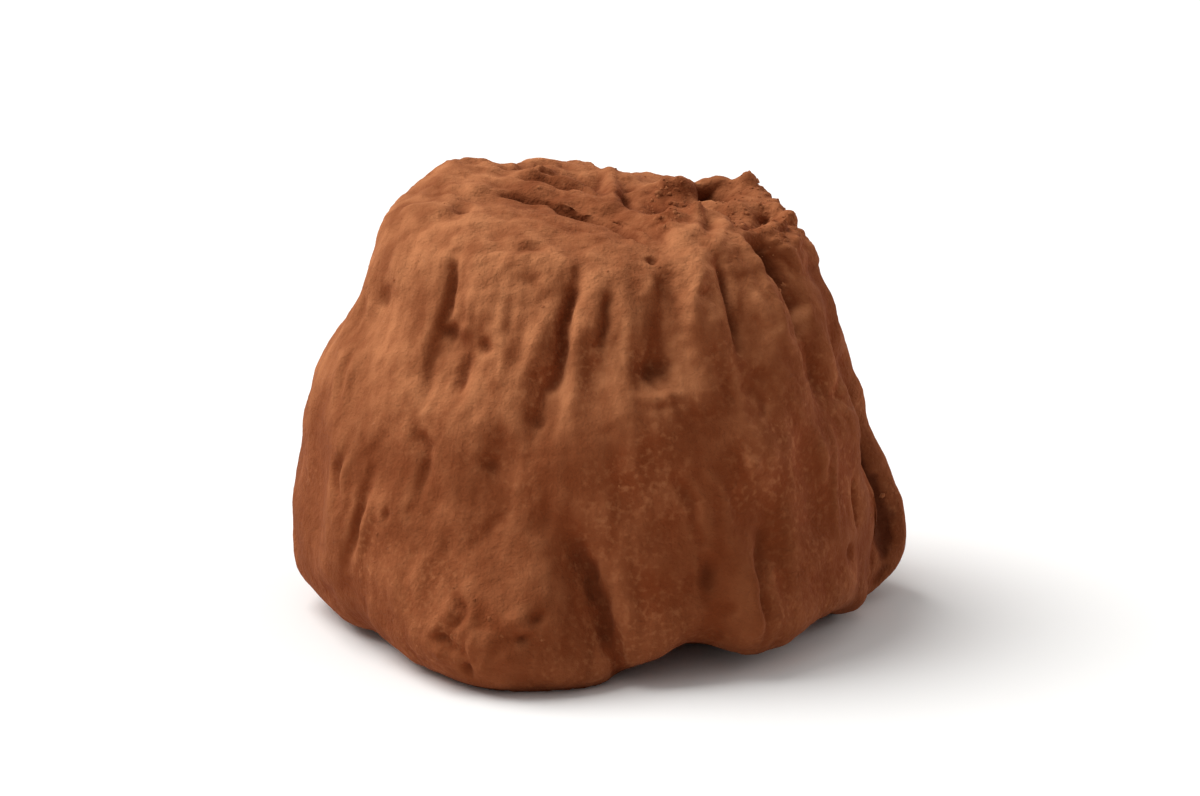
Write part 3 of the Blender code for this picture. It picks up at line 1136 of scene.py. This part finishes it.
@dataclass
class LooseCrumbs:
    """Small crumbs of powder stuck all over the coat, most where it is crumbly. In millimetres.

    Smallest and largest are half widths, and large ones are rarer the higher the rarity is. Sunk is
    the share of a crumb's height below the coat.
    """

    skin: Skin
    crumbliness: Array
    count: int = 600
    shapes: int = 12
    smallest: float = 0.05
    largest: float = 0.18
    rarity: float = 2.5
    sunk: float = 0.78
    above_foot: Span = (0.5, 1.5)
    stray_chance: float = 0.003
    seed: int = 23

    def grain(self, dealer: np.random.Generator) -> tuple[Array, Array]:
        """One uneven crumb, with a radius of about 1.

        Args:
            dealer: deals its unevenness.

        Returns:
            Its points and its three-sided faces.
        """
        form = bmesh.new()
        bmesh.ops.create_icosphere(form, subdivisions=2, radius=1.0)
        points = np.array([corner.co for corner in form.verts])
        faces = np.array([[corner.index for corner in face.verts] for face in form.faces])
        form.free()
        uneven = PowderNoise(int(dealer.integers(1000))).layered(1.1 * points, 2)
        points = points * (1.0 + 0.45 * uneven)[:, None] * dealer.uniform(0.7, 1.15, 3)
        return points, faces

    def make(self) -> bpy.types.Object:
        """Builds and dresses the crumbs as one mesh.

        Returns:
            The mesh object.
        """
        dealer = np.random.default_rng(self.seed)
        normals = self.skin.normals()
        clear = smooth_step(self.skin.points[:, 2], *self.above_foot)
        chance = clear * (self.stray_chance + self.crumbliness**4)
        picked = dealer.choice(len(chance), self.count, replace=False, p=chance / chance.sum())
        points, faces = [], []
        shapes = [self.grain(dealer) for _ in range(self.shapes)]
        for number, at in enumerate(picked):
            shape, sides = shapes[number % len(shapes)]
            size = self.smallest + (self.largest - self.smallest) * dealer.random() ** self.rarity
            turn, _ = np.linalg.qr(dealer.normal(size=(3, 3)))
            # A mirrored turn would leave the crumb inside out.
            turn *= np.sign(np.linalg.det(turn))
            centre = self.skin.points[at] + normals[at] * size * (1.0 - 2.0 * self.sunk)
            faces.append(sides + number * len(shape))
            points.append(centre + size * shape @ turn)
        corners = (np.vstack(points) * METRES).tolist()
        crumbs = mesh_object("cocoa_crumbs", corners, np.vstack(faces).tolist())
        crumbs.data.shade_smooth()
        dust_and_painted_light = crumbs.data.attributes.new("dust_and_painted_light", "FLOAT", "POINT")
        shares = np.repeat(dealer.uniform(0.4, 0.9, self.count), len(shapes[0][0]))
        dust_and_painted_light.data.foreach_set("value", shares.astype(np.float32))
        crumbs.data.materials.append(CocoaPowder(PowderLay.BALLED).material())
        return crumbs


# The studio


@dataclass
class Studio:
    """A white paper floor under a wide soft lamp and a weak edge lamp, in a white room. In metres."""

    middle: Vector
    floor_half: float = 6.0
    camera_away: float = 0.47
    camera_rise_deg: float = 17.0
    camera_turn_deg: float = -2.0
    lens_mm: float = 310.0
    seen_from: float = 0.01
    seen_to: float = 30.0
    room_light_dim: float = 0.08
    room_light_full: float = 0.6
    room_brightest: Triple = (-0.4, 0.0, 0.8)
    # The cosine to the brightest direction at which the room is dimmest.
    room_dim_cosine: float = -0.4
    sky_strength: float = 2.95
    sky_spread_deg: float = 48.0
    sky_from: Triple = (-0.42, 0.16, 0.62)
    edge_watts: float = 1.5
    edge_side: float = 0.25
    edge_at: Triple = (0.55, 0.34, 0.12)

    def floor(self) -> None:
        """Lays the paper floor."""
        half = self.floor_half
        corners = [(-half, -half, 0.0), (half, -half, 0.0), (half, half, 0.0), (-half, half, 0.0)]
        floor = mesh_object("paper_floor", corners, [(0, 1, 2, 3)])
        floor.data.materials.append(StudioPaper().material())

    def facing(self, light: bpy.types.Light, at: Vector) -> None:
        """Hangs a lamp that faces the truffle.

        Args:
            light: the lamp.
            at: where its middle is.
        """
        holder = bpy.data.objects.new(light.name, light)
        holder.location = at
        holder.rotation_euler = (self.middle - at).to_track_quat("-Z", "Y").to_euler()
        bpy.context.scene.collection.objects.link(holder)

    def lamps(self) -> None:
        """Hangs a wide soft light above, to the left and behind, and a weak one at the right."""
        sky = bpy.data.lights.new("overhead diffuser", "SUN")
        sky.angle = math.radians(self.sky_spread_deg)
        sky.energy = self.sky_strength
        self.facing(sky, self.middle + Vector(self.sky_from))
        edge = bpy.data.lights.new("edge lamp", "AREA")
        edge.size = self.edge_side
        edge.energy = self.edge_watts
        self.facing(edge, self.middle + Vector(self.edge_at))

    def room(self) -> None:
        """Lights the room, brightest high at the left. Its walls look as white as the floor."""
        world = bpy.data.worlds.new("white room")
        world.use_nodes = True
        tree = world.node_tree
        towards = add_node(tree, "ShaderNodeTexCoord").outputs["Generated"]
        brightest = Vector(self.room_brightest).normalized()
        facing = add_node(
            tree, "ShaderNodeVectorMath", {0: towards, 1: brightest}, operation="DOT_PRODUCT"
        )
        sockets = {
            "Value": facing.outputs["Value"],
            "From Min": self.room_dim_cosine,
            "To Min": self.room_light_dim,
            "To Max": self.room_light_full,
        }
        light = add_node(tree, "ShaderNodeMapRange", sockets).outputs["Result"]
        seen = add_node(tree, "ShaderNodeLightPath").outputs["Is Camera Ray"]
        shown = add_node(tree, "ShaderNodeMath", {0: light, 1: seen}, operation="MAXIMUM")
        tree.links.new(shown.outputs[0], tree.nodes["Background"].inputs["Strength"])
        tree.nodes["Background"].inputs["Color"].default_value = (1.0, 1.0, 1.0, 1.0)
        bpy.context.scene.world = world

    def camera(self) -> None:
        """Sets up the camera, in front, a little above and a touch to the left."""
        rise = math.radians(self.camera_rise_deg)
        turn = math.radians(self.camera_turn_deg)
        data = bpy.data.cameras.new("camera")
        data.lens = self.lens_mm
        data.clip_start = self.seen_from
        data.clip_end = self.seen_to
        camera = bpy.data.objects.new("camera", data)
        level = Vector((math.sin(turn), -math.cos(turn), 0.0)) * math.cos(rise)
        away = (level + Vector((0.0, 0.0, math.sin(rise)))) * self.camera_away
        camera.location = self.middle + away
        camera.rotation_euler = (-away).to_track_quat("-Z", "Y").to_euler()
        bpy.context.scene.collection.objects.link(camera)
        bpy.context.scene.camera = camera

    def build(self) -> None:
        """Builds the floor, the lamps, the room and the camera."""
        self.floor()
        self.lamps()
        self.room()
        self.camera()
        bpy.context.scene.view_settings.view_transform = "Standard"


def report(piece: bpy.types.Object) -> None:
    """Logs a piece's size."""
    LOG.info("%s: %d points, %d faces", piece.name, len(piece.data.vertices), len(piece.data.polygons))


def main() -> None:
    """Builds the coat, the crumbs and the studio, in that order."""
    logging.basicConfig(level=logging.INFO)
    coat, skin, crumbliness = CocoaCoat(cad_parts["truffle"]).make()
    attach(coat, "root")
    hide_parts("truffle")
    report(coat)
    crumbs = LooseCrumbs(skin, crumbliness).make()
    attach(crumbs, "root")
    report(crumbs)
    low, high = CAD_BOX
    Studio((low + high) / 2.0).build()


if __name__ == "__main__":
    main()
